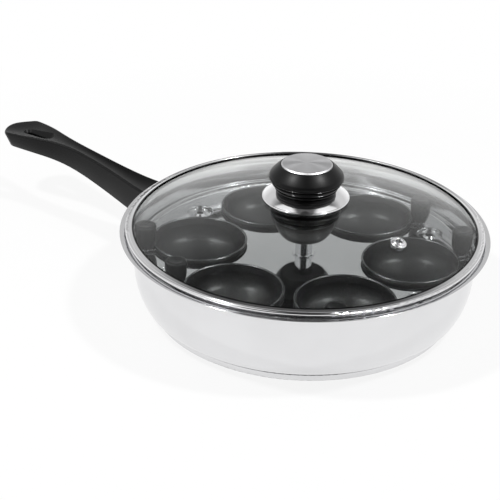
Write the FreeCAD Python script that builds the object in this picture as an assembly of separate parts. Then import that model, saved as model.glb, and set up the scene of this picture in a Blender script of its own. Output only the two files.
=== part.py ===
import FreeCAD, Part
import math
import os

# Egg poacher pan: a lidded steel pan whose tray carries six non-stick cups.
# Millimetres, +Z up, origin under the middle of the base, handle along -X.

vec = FreeCAD.Vector
up = vec(0, 0, 1)
full_turn = 360
half_turn = 180
quarter_turn = 90
bend_start_share = 0.5

# Clearances that several pieces share
seat_gap = 0.3
fit_gap = 0.1
overrun = 20.0

# Pan body, pressed from sheet, with a flared pouring lip
pan_sheet = 0.9
pan_wall_radius = 132.3
pan_corner_run = 17.2
pan_corner_rise = 31.5
pan_corner_radius = 13.0
pan_wall_rise = 16.0
pan_lip_flare = 10.2

# Sandwich base: an aluminium core in a steel capsule
base_height = 6.0
capsule_overhang = 3.4
capsule_skin = 1.2
capsule_edge_round = 1.8
capsule_top_round_share = 0.8

# Handle bracket, welded to the wall, with a tang inside the handle
pad_thickness = 2.0
pad_width = 26.0
pad_height = 15.0
tang_drop = 12.4
tang_width = 12.0
tang_thickness = 3.0
tang_length = 42.0
handle_screw_radius = 2.0
handle_screw_head_radius = 3.8
handle_screw_head_height = 2.6
handle_screw_reach = 24.0
handle_screw_wall = 5.0

# Moulded handle: a waisted S curve with a dished top and a hanging slot
handle_length = 196.7
handle_root_width = 35.0
handle_waist_width = 13.0
handle_tip_width = 39.0
handle_root_height = 31.6
handle_tip_height = 12.6
handle_drop = 3.1
handle_rise = 14.5
handle_tip_drop = 2.9
handle_tip_lean = 6.0
handle_side_bulge = 1.2
handle_underside_crown = 0.8
handle_corner_round = 9.0
handle_edge_round = 1.6
handle_waist_share = 0.55
handle_swell_share = 0.41
handle_peak_share = 0.73
handle_bottom_width_share = 0.8
handle_valley_share = 0.1
handle_valley_start_share = 0.16
handle_valley_end_share = 0.1
handle_valley_least_share = 0.2
handle_station_shares = (-0.04, 0.06, 0.16, 0.28, 0.41, 0.53, 0.64, 0.75, 0.84, 0.91, 0.97, 1.06)
slot_length = 29.5
slot_width = 6.5
slot_setback = 34.8
slot_mouth_flare = 2.6
slot_mouth_depth = 3.2

# Tray: flat plate with an upright fold, on a skirt that stands on the pan's rounded corner
tray_drop = 12.0
tray_sheet = 0.8
tray_hem_height = 3.9
tray_hem_gap = 0.5
tray_hem_foot = 2.0
tray_edge_gap = 0.7
tray_skirt_height = 20.5
dish_margin = 19.6
dish_radius = 11.0
dish_depth = 2.4
dish_boss_radius = 5.2
dish_boss_rise = 1.3
steam_hole_radius = 2.75

# Cups
cup_gap = 7.4
cup_edge_margin = 7.5
cup_first_angle = 28.07
cup_knob_angles = (30, -61, -58, 30, -59, -33)
cup_rim_bead = 1.8
cup_sheet = 1.0
cup_collar_seat = 1.5
cup_collar_taper = 1.0
cup_depth = 25.9
cup_corner_radius = 14.0

# Cup knob on its ear
ear_thickness = 1.0
ear_radius = 5.0
ear_overhang = 5.3
cup_knob_drop = 1.4
cup_knob_radius = 8.3
cup_knob_foot_radius = 4.8
cup_knob_flare = 0.4
cup_knob_taper_share = 0.48
cup_knob_top_round = 2.0
cup_knob_land = 0.9
cup_knob_dish_depth = 0.9
cup_screw_radius = 1.5
cup_screw_head_radius = 2.8
cup_screw_head_height = 0.8
cup_screw_grip = 9.0
cup_screw_lift = 0.4

# Tray knob on its steel stem
stem_radius = 6.75
stem_foot_radius = 9.0
stem_foot_height = 1.2
stem_height = 16.0
tray_knob_radius = 27.4
tray_knob_headroom = 2.7
tray_knob_dish_radius = 14.0
tray_knob_dish_depth = 1.2
tray_band_shares = ((0.62, 0.86, 0.62), (0.89, 0.96, 0.82), (0.98, 1.0, 0.92))

# Lid: domed glass in a steel rim
glass_thickness = 4.0
glass_inset = 7.6
glass_rise = 25.2
glass_hole_radius = 4.5
lid_rim_skin = 0.8
lid_rim_cover = 2.6
lid_rim_bead = 1.7
lid_rim_bead_bite = 0.6
lid_rim_bead_drop = 1.1

# Steam vent
vent_radius = 87.7
vent_angle = -2.4
vent_hole_radius = 2.4
vent_tube_radius = 3.4
vent_flange_radius = 6.1
vent_flange_height = 1.2
vent_collar_radius = 4.8
vent_collar_height = 1.2
vent_lower_radius = 5.2
vent_lower_height = 0.8

# Lid knob
bezel_radius = 33.5
bezel_edge_height = 1.7
bezel_rise = 5.2
bezel_flat_radius = 21.0
bezel_slope_run = 5.4
bezel_slope_share = 0.83
knob_radius = 28.7
knob_height = 20.3
knob_band_shares = ((0.73, 0.85, 0.16), (0.84, 0.94, 0.40), (0.95, 1.0, 0.53))
knob_shoulder_share = 0.38
knob_notch_share = 0.035
knob_notch_rise_share = 0.018
knob_foot_bend_share = 0.4
cap_radius = 19.6
cap_seat_depth = 1.5
cap_edge_height = 1.3
cap_bevel = 0.9
cap_crown = 0.8
insert_radius = 4.0
insert_length = 12.0
insert_setback = 0.4
knob_screw_radius = 2.0
knob_screw_head_radius = 4.0
knob_screw_head_height = 2.2
knob_screw_grip = 9.0
gasket_radius = 9.0
gasket_thickness = 1.0
washer_radius = 8.0
washer_thickness = 0.8

# Places that follow from the sizes above
pan_inner_radius = pan_wall_radius - pan_sheet
pan_floor_radius = pan_wall_radius - pan_corner_run
pan_lip_radius = pan_wall_radius + pan_lip_flare
pan_corner_top = base_height + pan_corner_rise
pan_crease_height = pan_corner_top + pan_wall_rise
lip_under = pan_crease_height + pan_lip_flare
lip_top = lip_under + pan_sheet
capsule_radius = pan_floor_radius + capsule_overhang
handle_root = pan_wall_radius + pad_thickness
handle_tip = handle_root + handle_length
handle_root_top = pan_crease_height - handle_drop
tang_height = handle_root_top - tang_drop
tray_top = pan_crease_height - tray_drop
tray_under = tray_top - tray_sheet
tray_skirt_foot = tray_top - tray_skirt_height
tray_hem_width = 2 * tray_sheet + tray_hem_gap
tray_outer_radius = pan_inner_radius - tray_edge_gap
tray_inner_radius = tray_outer_radius - tray_hem_width
tray_shoulder = tray_top + tray_hem_height - tray_hem_width / 2
dish_ring_radius = tray_inner_radius - dish_margin
cup_count = len(cup_knob_angles)
cup_chord_share = math.sin(math.pi / cup_count)
cup_ring_radius = (tray_inner_radius - cup_edge_margin + cup_gap / 2) / (1 + cup_chord_share)
cup_rim_radius = cup_ring_radius * cup_chord_share - cup_gap / 2
bead_foot = tray_top + cup_screw_lift + cup_screw_head_height + ear_thickness
cup_rim_height = bead_foot + cup_rim_bead
collar_top_radius = cup_rim_radius - cup_rim_bead / 2
collar_foot_radius = collar_top_radius - cup_collar_taper
collar_foot = tray_top - cup_collar_seat
ear_reach = cup_rim_radius + ear_overhang
cup_knob_height = lip_top - cup_knob_drop - bead_foot
glass_edge_radius = pan_lip_radius - glass_inset
channel_radius = glass_edge_radius + fit_gap + lid_rim_skin


def turned(shape, centre, angle):
    """The shape turned about Z and then moved by the centre's offset."""
    copy = shape.copy()
    copy.Placement = FreeCAD.Placement(centre, FreeCAD.Rotation(up, angle)).multiply(copy.Placement)
    return copy


def polar(radius, angle):
    """The point at a radius and an angle about the pan's axis."""
    turn = math.radians(angle)
    return vec(radius * math.cos(turn), radius * math.sin(turn), 0)


def post(radius, low, high, centre=vec(0, 0, 0)):
    """An upright cylinder from one height to another."""
    return Part.makeCylinder(radius, high - low, centre + vec(0, 0, low))


class Section:
    """Half section of a turned piece, drawn as steps of (radius, height)."""

    def __init__(self, radius, height):
        self.start = vec(radius, 0, height)
        self.last = self.start
        self.edges = []

    def line(self, radius, height):
        end = vec(radius, 0, height)
        self.edges.append(Part.makeLine(self.last, end))
        self.last = end
        return self

    def round(self, corner, stop):
        """An arc that leaves towards the corner and arrives from it, both as far away."""
        half = (stop - corner).getAngle(corner - self.last) / 2
        leg = (corner - self.last).Length
        middle = (self.last + stop) / 2
        depth = leg / math.tan(half) * (1 / math.cos(half) - 1)
        through = corner + (middle - corner).normalize() * depth
        self.edges.append(Part.Arc(self.last, through, stop).toShape())
        self.last = stop

    def bend(self, corner, end):
        """A rounded corner: one arc where both legs are equal, else two that meet smoothly."""
        turn = vec(corner[0], 0, corner[1])
        stop = vec(end[0], 0, end[1])
        first = turn - self.last
        second = stop - turn
        if math.isclose(first.Length, second.Length, rel_tol=1e-6):
            self.round(turn, stop)
            return self
        leave = vec(first).normalize()
        arrive = vec(second).normalize()
        chord = stop - self.last
        half_square = chord.dot(chord) / 2
        spread = 1 - leave.dot(arrive)
        if first.Length < second.Length:
            near = bend_start_share * first.Length
            far = (half_square - near * chord.dot(leave)) / (chord.dot(arrive) + near * spread)
        else:
            far = bend_start_share * second.Length
            near = (half_square - far * chord.dot(arrive)) / (chord.dot(leave) + far * spread)
        inner = self.last + leave * near
        outer = stop - arrive * far
        self.round(inner, (inner * far + outer * near) / (near + far))
        self.round(outer, stop)
        return self

    def sweep(self, centre, radius, begin, finish):
        """An arc about a centre, from one angle to another."""
        ends = []
        for angle in ((begin + finish) / 2, finish):
            turn = math.radians(angle)
            ends.append((centre[0] + radius * math.cos(turn), centre[1] + radius * math.sin(turn)))
        return self.arc(*ends)

    def arc(self, through, end):
        stop = vec(end[0], 0, end[1])
        self.edges.append(Part.Arc(self.last, vec(through[0], 0, through[1]), stop).toShape())
        self.last = stop
        return self

    def solid(self):
        """Close the section and turn it about Z."""
        self.edges.append(Part.makeLine(self.last, self.start))
        face = Part.Face(Part.Wire(self.edges))
        return face.revolve(vec(0, 0, 0), up, full_turn)


# Heights and radii on curved pieces that others seat on

pan_side_radius = ((pan_corner_run ** 2 + pan_corner_rise ** 2 - 2 * pan_corner_rise * pan_corner_radius)
                   / (2 * (pan_corner_run - pan_corner_radius)))
pan_corner_centre = (pan_floor_radius, base_height + pan_corner_radius)
pan_side_centre = (pan_wall_radius - pan_side_radius, pan_corner_top)
pan_corner_angle = -math.degrees(math.atan2(pan_side_centre[1] - pan_corner_centre[1],
                                            pan_corner_centre[0] - pan_side_centre[0]))


def pan_inner_radius_at(height):
    """Inside radius of the pan on the upper of its corner's two arcs."""
    reach = pan_side_radius - pan_sheet
    return pan_side_centre[0] + math.sqrt(reach ** 2 - (height - pan_side_centre[1]) ** 2)


def lip_seat_height(radius):
    """Height at which something clears the flare of the lip by the seat gap."""
    reach = pan_lip_flare + pan_sheet + seat_gap
    return pan_crease_height + math.sqrt(reach ** 2 - (pan_lip_radius - radius) ** 2)


def collar_radius_at(height):
    """Outside radius of a cup's tapered collar."""
    share = (bead_foot - height) / (bead_foot - collar_foot)
    return collar_top_radius - cup_collar_taper * share


glass_ball_radius = (glass_edge_radius ** 2 + glass_rise ** 2) / (2 * glass_rise)
glass_edge_depth = (math.sqrt(glass_ball_radius ** 2 - glass_edge_radius ** 2)
                    - math.sqrt((glass_ball_radius - glass_thickness) ** 2 - glass_edge_radius ** 2))
glass_edge_top = lip_seat_height(glass_edge_radius) + fit_gap + lid_rim_skin + glass_edge_depth
glass_ball_height = glass_edge_top + glass_rise - glass_ball_radius


def glass_top_at(radius):
    return glass_ball_height + math.sqrt(glass_ball_radius ** 2 - radius ** 2)


def glass_under_at(radius):
    return glass_ball_height + math.sqrt((glass_ball_radius - glass_thickness) ** 2 - radius ** 2)


# Pan body and base

def pan_shell():
    edge = pan_lip_radius + pan_sheet / 2
    section = Section(0, base_height).line(pan_floor_radius, base_height)
    section.sweep(pan_corner_centre, pan_corner_radius, -quarter_turn, pan_corner_angle)
    section.sweep(pan_side_centre, pan_side_radius, pan_corner_angle, 0)
    section.line(pan_wall_radius, pan_crease_height)
    section.bend((pan_wall_radius, lip_under), (pan_lip_radius, lip_under))
    section.bend((edge, lip_under), (edge, lip_under + pan_sheet / 2))
    section.bend((edge, lip_top), (pan_lip_radius, lip_top))
    section.bend((pan_inner_radius, lip_top), (pan_inner_radius, pan_crease_height))
    section.line(pan_inner_radius, pan_corner_top)
    section.sweep(pan_side_centre, pan_side_radius - pan_sheet, 0, pan_corner_angle)
    section.sweep(pan_corner_centre, pan_corner_radius - pan_sheet, pan_corner_angle, -quarter_turn)
    return section.line(0, base_height + pan_sheet).solid()


def base_capsule():
    inner = capsule_radius - capsule_skin
    inner_round = capsule_edge_round - capsule_skin
    section = Section(0, 0).line(capsule_radius - capsule_edge_round, 0)
    section.bend((capsule_radius, 0), (capsule_radius, capsule_edge_round))
    top_round = capsule_skin * capsule_top_round_share
    section.line(capsule_radius, base_height - top_round)
    section.bend((capsule_radius, base_height), (capsule_radius - top_round, base_height))
    section.line(inner, base_height).line(inner, capsule_edge_round)
    section.bend((inner, capsule_skin), (inner - inner_round, capsule_skin)).line(0, capsule_skin)
    return section.solid()


def base_core():
    radius = capsule_radius - capsule_skin - fit_gap
    corner = capsule_edge_round - capsule_skin
    section = Section(0, capsule_skin).line(radius - corner, capsule_skin)
    section.bend((radius, capsule_skin), (radius, capsule_edge_round))
    section.line(radius, base_height).line(0, base_height)
    return section.solid()


# Handle, its bracket and its screw

def handle_width_at(share):
    """Width across the top edges: wide root, waist, swelling grip."""
    if share < handle_waist_share:
        widen = (1 - share / handle_waist_share) ** 2
        return handle_waist_width + (handle_root_width - handle_waist_width) * widen
    swell = min(1, (share - handle_waist_share) / handle_swell_share)
    widen = (1 - math.cos(math.pi * swell)) / 2
    return handle_waist_width + (handle_tip_width - handle_waist_width) * widen


def handle_top_at(share):
    """Height of the top edges: an S curve that peaks near the tip and droops."""
    if share < handle_peak_share:
        lift = (1 - math.cos(math.pi * share / handle_peak_share)) / 2
        return handle_root_top + handle_rise * lift
    droop = ((share - handle_peak_share) / (1 - handle_peak_share)) ** 2
    return handle_root_top + handle_rise - handle_tip_drop * droop


def handle_bottom_at(share):
    height = handle_root_height + (handle_tip_height - handle_root_height) * share
    return handle_top_at(share) - height


def handle_section(share):
    """Section across the handle: dished top, bulging sides, crowned underside."""
    along = -(handle_root + handle_length * share)
    top = handle_top_at(share)
    bottom = handle_bottom_at(share)
    width = handle_width_at(share)
    half_top = width / 2
    half_bottom = half_top * handle_bottom_width_share
    half_middle = (half_top + half_bottom) / 2 + handle_side_bulge
    middle = (top + bottom) / 2
    fade = min(1, share / handle_valley_start_share, (1 - share) / handle_valley_end_share)
    valley = top - width * handle_valley_share * max(handle_valley_least_share, fade)
    crown = bottom - handle_underside_crown
    corners = [(-half_top, top), (half_top, top), (half_bottom, bottom), (-half_bottom, bottom)]
    middles = [(0, valley), (half_middle, middle), (0, crown), (-half_middle, middle)]
    edges = []
    for index, through in enumerate(middles):
        begin = corners[index]
        end = corners[(index + 1) % len(corners)]
        points = [vec(along, y, z) for y, z in (begin, through, end)]
        edges.append(Part.Arc(*points).toShape())
    return Part.Wire(edges)


def stadium(length, width, centre):
    """A round-ended outline along X in a level plane."""
    half = (length - width) / 2
    radius = width / 2
    right = vec(half, 0, 0)
    side = vec(0, radius, 0)
    end = vec(half + radius, 0, 0)
    edges = [
        Part.makeLine(centre - right - side, centre + right - side),
        Part.Arc(centre + right - side, centre + end, centre + right + side).toShape(),
        Part.makeLine(centre + right + side, centre - right + side),
        Part.Arc(centre - right + side, centre - end, centre - right - side).toShape(),
    ]
    return Part.Wire(edges)


def handle_slot():
    """Hanging slot with a flared mouth in the dished top."""
    along = -(handle_tip - slot_setback)
    share = (handle_tip - slot_setback - handle_root) / handle_length
    mouth = handle_top_at(share) - handle_width_at(share) * handle_valley_share
    low = handle_bottom_at(share) - overrun
    throat = mouth - slot_mouth_depth
    hole = stadium(slot_length, slot_width, vec(along, 0, low))
    through = Part.Face(hole).extrude(vec(0, 0, throat - low + fit_gap))
    above = mouth + handle_tip_drop
    wide = 2 * slot_mouth_flare * (above - throat) / slot_mouth_depth
    rings = [
        stadium(slot_length, slot_width, vec(along, 0, throat)),
        stadium(slot_length + wide, slot_width + wide, vec(along, 0, above)),
    ]
    return through.fuse(Part.makeLoft(rings, True, True))


def handle_tip_form():
    """What the round, inward leaning tip is trimmed to: a round-ended block clear of the sides."""
    top = handle_top_at(1)
    bottom = handle_bottom_at(1)
    length = 2 * (handle_root_width + handle_tip_width)
    rings = []
    for height in (bottom - overrun, handle_root_top + handle_rise + overrun):
        share = (height - bottom) / (top - bottom)
        taper = handle_bottom_width_share + (1 - handle_bottom_width_share) * share
        width = handle_tip_width * taper + 2 * handle_side_bulge
        end = handle_tip - handle_tip_lean * (1 - share)
        rings.append(stadium(length, width, vec(length / 2 - end, 0, height)))
    tip = Part.makeLoft(rings, True, True)
    join = handle_tip - handle_tip_width
    low = handle_bottom_at(0) - overrun
    wide = handle_root_width + handle_tip_width
    body = Part.makeBox(join, wide, handle_root_top + handle_rise + overrun - low, vec(-join, -wide / 2, low))
    return body.fuse(tip)


def handle():
    """Loft from root to tip, with the tip's corners and then all its long edges rounded."""
    body = Part.makeLoft([handle_section(share) for share in handle_station_shares], True, False)
    body = body.common(handle_tip_form())
    corners = [edge for edge in body.Edges if edge.BoundBox.ZLength > handle_tip_height / 2
               and edge.BoundBox.XMax < -(handle_tip - handle_tip_width)]
    body = body.makeFillet(handle_corner_round, corners)
    rims = [edge for edge in body.Edges if edge.BoundBox.XLength > edge.BoundBox.ZLength]
    body = body.makeFillet(handle_edge_round, rims)
    body = body.cut(post(handle_root, handle_bottom_at(0) - overrun, handle_root_top + overrun))
    pocket_width = tang_width + 2 * fit_gap
    pocket_height = tang_thickness + 2 * fit_gap
    pocket_end = -(handle_root + tang_length + fit_gap)
    pocket = Part.makeBox(tang_length + overrun, pocket_width, pocket_height,
                          vec(pocket_end, -pocket_width / 2, tang_height - pocket_height / 2))
    place = vec(-(handle_root + handle_screw_reach), 0, 0)
    ceiling = tang_height - pocket_height / 2 - handle_screw_wall
    low = handle_bottom_at(0) - overrun
    bore = post(handle_screw_radius + fit_gap, low, tang_height, place)
    counterbore = post(handle_screw_head_radius + fit_gap, low, ceiling, place)
    body = body.cut(pocket.fuse(bore).fuse(counterbore))
    return body.cut(handle_slot())


def handle_bracket():
    low = tang_height - pad_height / 2
    high = tang_height + pad_height / 2
    pad = post(pan_wall_radius + pad_thickness, low, high).cut(post(pan_wall_radius, low, high))
    window = Part.makeBox(handle_root + overrun, pad_width, pad_height,
                          vec(-(handle_root + overrun), -pad_width / 2, low))
    pad = pad.common(window)
    tang = Part.makeBox(tang_length + pad_thickness / 2, tang_width, tang_thickness,
                        vec(-(handle_root + tang_length), -tang_width / 2, tang_height - tang_thickness / 2))
    place = vec(-(handle_root + handle_screw_reach), 0, 0)
    thread = post(handle_screw_radius, low, high, place)
    return pad.fuse(tang).removeSplitter().cut(thread)


def handle_screw():
    seat = tang_height - tang_thickness / 2 - fit_gap - handle_screw_wall
    place = vec(-(handle_root + handle_screw_reach), 0, 0)
    low = seat - handle_screw_head_height
    head = post(handle_screw_head_radius, low, seat, place)
    shank = post(handle_screw_radius, low, tang_height + tang_thickness / 2, place)
    return head.fuse(shank).removeSplitter()


# Tray

def skirt_radius_at(height):
    """Outside radius of the tray's skirt and of the fold above it."""
    foot_radius = pan_inner_radius_at(tray_skirt_foot) - seat_gap
    share = (height - tray_skirt_foot) / (tray_shoulder - tray_skirt_foot)
    return foot_radius + (tray_outer_radius - foot_radius) * share


def tray_blank():
    """Flat plate with an upright fold round its edge."""
    crest = tray_top + tray_hem_height
    inner = tray_inner_radius
    middle = (inner + tray_outer_radius) / 2
    shoulder = tray_shoulder
    seam = skirt_radius_at(tray_under)
    section = Section(0, tray_top).line(inner - tray_hem_foot, tray_top)
    section.bend((inner, tray_top), (inner, tray_top + tray_hem_foot)).line(inner, shoulder)
    section.bend((inner, crest), (middle, crest))
    section.bend((tray_outer_radius, crest), (tray_outer_radius, shoulder))
    section.line(seam, tray_under).line(seam - tray_sheet, tray_under)
    section.line(tray_outer_radius - tray_sheet, shoulder)
    section.bend((tray_outer_radius - tray_sheet, crest - tray_sheet), (middle, crest - tray_sheet))
    section.bend((inner + tray_sheet, crest - tray_sheet), (inner + tray_sheet, shoulder))
    section.line(inner + tray_sheet, tray_top + tray_hem_foot)
    section.bend((inner + tray_sheet, tray_under), (inner - tray_hem_foot, tray_under)).line(0, tray_under)
    return section.solid()


def tray_skirt():
    """Ring welded under the fold, which stands on the pan's rounded corner."""
    seam = skirt_radius_at(tray_under)
    foot = skirt_radius_at(tray_skirt_foot)
    section = Section(seam, tray_under).line(foot, tray_skirt_foot)
    section.line(foot - tray_sheet, tray_skirt_foot).line(seam - tray_sheet, tray_under)
    return section.solid()


def steam_dish():
    """Pressed dish with a raised steam hole, made about its own axis."""
    floor = tray_top - dish_depth
    half_run = dish_radius - dish_depth / 2
    half_depth = tray_top - dish_depth / 2
    ring = dish_radius - dish_depth
    crest = floor + dish_boss_rise
    section = Section(dish_radius, tray_top)
    section.bend((half_run, tray_top), (half_run, half_depth)).bend((half_run, floor), (ring, floor))
    section.line(dish_boss_radius, floor).line(steam_hole_radius + tray_sheet, crest)
    section.line(steam_hole_radius, crest).line(steam_hole_radius, crest - tray_sheet)
    section.line(steam_hole_radius + tray_sheet, crest - tray_sheet)
    section.line(dish_boss_radius, floor - tray_sheet).line(ring, floor - tray_sheet)
    section.bend((half_run, floor - tray_sheet), (half_run, half_depth - tray_sheet))
    section.bend((half_run, tray_under), (dish_radius, tray_under))
    return section.solid()


def cup_angle(index):
    return cup_first_angle + full_turn / cup_count * index


def tray_plate():
    low = tray_under - overrun
    high = tray_top + overrun
    plate = tray_blank()
    dish = steam_dish()
    holes = [post(knob_screw_radius + fit_gap, low, high)]
    cup_hole = post(collar_radius_at(tray_top) + seat_gap, low, high)
    for index in range(cup_count):
        holes.append(turned(cup_hole, polar(cup_ring_radius, cup_angle(index)), 0))
    for index in range(cup_count):
        place = polar(dish_ring_radius, cup_angle(index) + half_turn / cup_count)
        plate = plate.cut(post(dish_radius, low, high, place))
        plate = plate.fuse(turned(dish, place, 0))
    return plate.removeSplitter().cut(holes)


# Cups, their ears, knobs and screws, made about a cup's own axis with the ear along X

def cup():
    """Round-bottomed bowl: a dished floor, a rounded corner, a tapered collar and a rolled rim."""
    inner_top = collar_top_radius - cup_sheet
    inner_foot = collar_foot_radius - cup_sheet
    floor = cup_rim_height - cup_depth
    drop = collar_foot - floor
    corner = (inner_foot - cup_corner_radius, collar_foot)
    bowl_radius = ((corner[0] ** 2 + drop ** 2 - cup_corner_radius ** 2)
                   / (2 * (drop - cup_corner_radius)))
    bowl = (0, floor + bowl_radius)
    meet = -math.degrees(math.atan2(bowl[1] - collar_foot, corner[0]))
    round_off = cup_rim_bead / 2
    middle = cup_rim_height - round_off
    section = Section(0, floor - cup_sheet)
    section.sweep(bowl, bowl_radius + cup_sheet, -quarter_turn, meet)
    section.sweep(corner, cup_corner_radius + cup_sheet, meet, 0).line(collar_top_radius, bead_foot)
    section.bend((cup_rim_radius, bead_foot), (cup_rim_radius, middle))
    section.bend((cup_rim_radius, cup_rim_height), (cup_rim_radius - round_off, cup_rim_height))
    section.line(inner_top + round_off, cup_rim_height)
    section.bend((inner_top, cup_rim_height), (inner_top, middle)).line(inner_foot, collar_foot)
    section.sweep(corner, cup_corner_radius, 0, meet).sweep(bowl, bowl_radius, meet, -quarter_turn)
    return section.solid()


def cup_ear():
    """Flat ear welded to the collar under the rim bead."""
    low = bead_foot - ear_thickness
    place = vec(ear_reach, 0, 0)
    plate = Part.makeBox(ear_reach, 2 * ear_radius, ear_thickness, vec(0, -ear_radius, low))
    plate = plate.fuse(post(ear_radius, low, bead_foot, place)).removeSplitter()
    collar = Part.makeCone(collar_radius_at(low), collar_top_radius, ear_thickness, vec(0, 0, low))
    return plate.cut(collar).cut(post(cup_screw_radius, low, bead_foot, place))


def cup_knob():
    low = bead_foot
    high = low + cup_knob_height
    shoulder = low + cup_knob_height * cup_knob_taper_share
    flat = cup_knob_radius - cup_knob_top_round
    waist = cup_knob_radius - cup_knob_flare
    dish = flat - cup_knob_land
    grip = low + cup_screw_grip
    section = Section(cup_screw_radius, low).line(cup_knob_foot_radius, low)
    section.bend((waist, (low + shoulder) / 2), (waist, shoulder))
    section.line(cup_knob_radius, high - cup_knob_top_round)
    section.bend((cup_knob_radius, high), (flat, high)).line(dish, high)
    section.bend((dish / 2, high - cup_knob_dish_depth), (0, high - cup_knob_dish_depth))
    section.line(0, grip).line(cup_screw_radius, grip)
    return turned(section.solid(), vec(ear_reach, 0, 0), 0)


def cup_screw():
    seat = bead_foot - ear_thickness
    tip = bead_foot + cup_screw_grip - fit_gap
    head = post(cup_screw_head_radius, seat - cup_screw_head_height, seat)
    shank = post(cup_screw_radius, seat - cup_screw_head_height, tip)
    return turned(head.fuse(shank).removeSplitter(), vec(ear_reach, 0, 0), 0)


# Ringed knobs for the tray and the lid

def banded_section(radius, height, foot, bands):
    """Ringed grip from its foot up: each band swells from its foot to its head."""
    bottom = bands[0][0] * radius
    section = Section(insert_radius + fit_gap, foot).line(bottom, foot)
    notch = knob_notch_share * radius
    rise = knob_notch_rise_share * height
    low = foot
    for index, (foot_share, head_share, top_share) in enumerate(bands):
        high = foot + top_share * height
        head = head_share * radius
        if index:
            section.line(foot_share * radius, low + rise)
        begin = section.last.z
        section.bend((head, begin + (high - begin) * knob_foot_bend_share), (head, high - rise))
        if index < len(bands) - 1:
            section.line(head - notch, high)
        low = high
    return section


def knob_insert(foot, length):
    return post(insert_radius, foot + insert_setback, foot + insert_setback + length).cut(
        post(knob_screw_radius, foot, foot + insert_setback + length - fit_gap))


def tray_stem():
    low = tray_top
    foot = low + stem_foot_height
    high = low + stem_height
    bore = knob_screw_radius + fit_gap
    section = Section(bore, low).line(stem_foot_radius, low)
    section.line(stem_foot_radius, low + stem_foot_height / 2)
    section.bend((stem_foot_radius, foot), (stem_radius, foot)).line(stem_radius, high).line(bore, high)
    return section.solid()


def tray_knob():
    foot = tray_top + stem_height
    high = washer_low - knob_screw_head_height - tray_knob_headroom
    section = banded_section(tray_knob_radius, high - foot, foot, tray_band_shares)
    edge = (tray_knob_radius + tray_knob_dish_radius) / 2
    section.bend((tray_knob_radius, high), (edge, high)).line(tray_knob_dish_radius, high)
    low = high - tray_knob_dish_depth
    section.bend((tray_knob_dish_radius / 2, low), (0, low))
    top = foot + insert_setback + insert_length + fit_gap
    section.line(0, top).line(insert_radius + fit_gap, top)
    return section.solid()


def tray_screw():
    seat = tray_under
    tip = tray_top + stem_height + insert_setback + knob_screw_grip
    head = post(knob_screw_head_radius, seat - knob_screw_head_height, seat)
    return head.fuse(post(knob_screw_radius, seat - knob_screw_head_height, tip)).removeSplitter()


# Lid

def lid_glass():
    middle = glass_edge_radius / 2
    section = Section(glass_hole_radius, glass_top_at(glass_hole_radius))
    section.arc((middle, glass_top_at(middle)), (glass_edge_radius, glass_top_at(glass_edge_radius)))
    section.line(glass_edge_radius, glass_under_at(glass_edge_radius))
    section.arc((middle, glass_under_at(middle)), (glass_hole_radius, glass_under_at(glass_hole_radius)))
    return section.solid().cut(on_glass(post(vent_tube_radius + fit_gap, -overrun, overrun)))


def lid_rim():
    """Steel channel round the glass with a full bead, seated in the flare of the pan's lip."""
    inner = glass_edge_radius - lid_rim_cover
    groove = glass_edge_radius + fit_gap
    top = glass_top_at(glass_edge_radius) + fit_gap
    under = glass_under_at(glass_edge_radius)
    crest = top + lid_rim_skin
    inner_top = glass_top_at(inner) + fit_gap
    section = Section(inner, inner_top).line(inner, inner_top + lid_rim_skin).line(channel_radius, crest)
    section.line(channel_radius, lip_seat_height(channel_radius) + fit_gap)
    section.line(glass_edge_radius, under - lid_rim_skin)
    section.line(inner, glass_under_at(inner) - lid_rim_skin).line(inner, glass_under_at(inner) - fit_gap)
    section.line(groove, under - fit_gap).line(groove, top)
    middle = channel_radius + lid_rim_bead - lid_rim_bead_bite
    bead = Part.makeTorus(middle, lid_rim_bead, vec(0, 0, crest - lid_rim_bead_drop))
    return section.solid().fuse(bead).removeSplitter()


def on_glass(shape):
    """A piece made about Z from height zero, set square on the glass at the vent."""
    lean = math.degrees(math.asin(vent_radius / glass_ball_radius))
    tilt = FreeCAD.Rotation(vec(0, 1, 0), lean)
    spin = FreeCAD.Rotation(up, vent_angle)
    place = polar(vent_radius, vent_angle) + vec(0, 0, glass_top_at(vent_radius))
    copy = shape.copy()
    copy.Placement = FreeCAD.Placement(place, spin.multiply(tilt))
    return copy


def vent_eyelet():
    """Stepped grommet clinched through the glass."""
    top = vent_flange_height + vent_collar_height
    rim = (vent_hole_radius + vent_collar_radius) / 2
    low = -glass_thickness - fit_gap
    section = Section(vent_hole_radius, low - vent_lower_height)
    section.line(vent_lower_radius, low - vent_lower_height).line(vent_lower_radius, low)
    section.line(vent_tube_radius, low).line(vent_tube_radius, 0).line(vent_flange_radius, 0)
    section.bend((vent_flange_radius, vent_flange_height), (vent_collar_radius, vent_flange_height))
    section.bend((vent_collar_radius, top), (rim, top))
    section.bend((vent_hole_radius, top), (vent_hole_radius, vent_flange_height))
    return on_glass(section.solid())


bezel_low = glass_top_at(glass_hole_radius) + fit_gap
knob_foot = bezel_low + bezel_rise


def knob_bezel():
    """Polished saucer between the grip and the glass."""
    bore = knob_screw_radius + fit_gap
    half_edge = bezel_edge_height / 2
    rim = bezel_radius - half_edge
    edge_low = glass_top_at(rim) + fit_gap
    edge_middle = edge_low + half_edge
    edge_high = edge_low + bezel_edge_height
    brow = edge_high + (knob_foot - edge_high) * bezel_slope_share
    section = Section(bore, bezel_low).line(glass_hole_radius, bezel_low)
    section.arc((rim / 2, glass_top_at(rim / 2) + fit_gap), (rim, edge_low))
    section.bend((bezel_radius, edge_low), (bezel_radius, edge_middle))
    section.bend((bezel_radius, edge_high), (rim, edge_high))
    section.bend((rim - bezel_slope_run, brow), (bezel_flat_radius, knob_foot)).line(bore, knob_foot)
    return section.solid()


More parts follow.
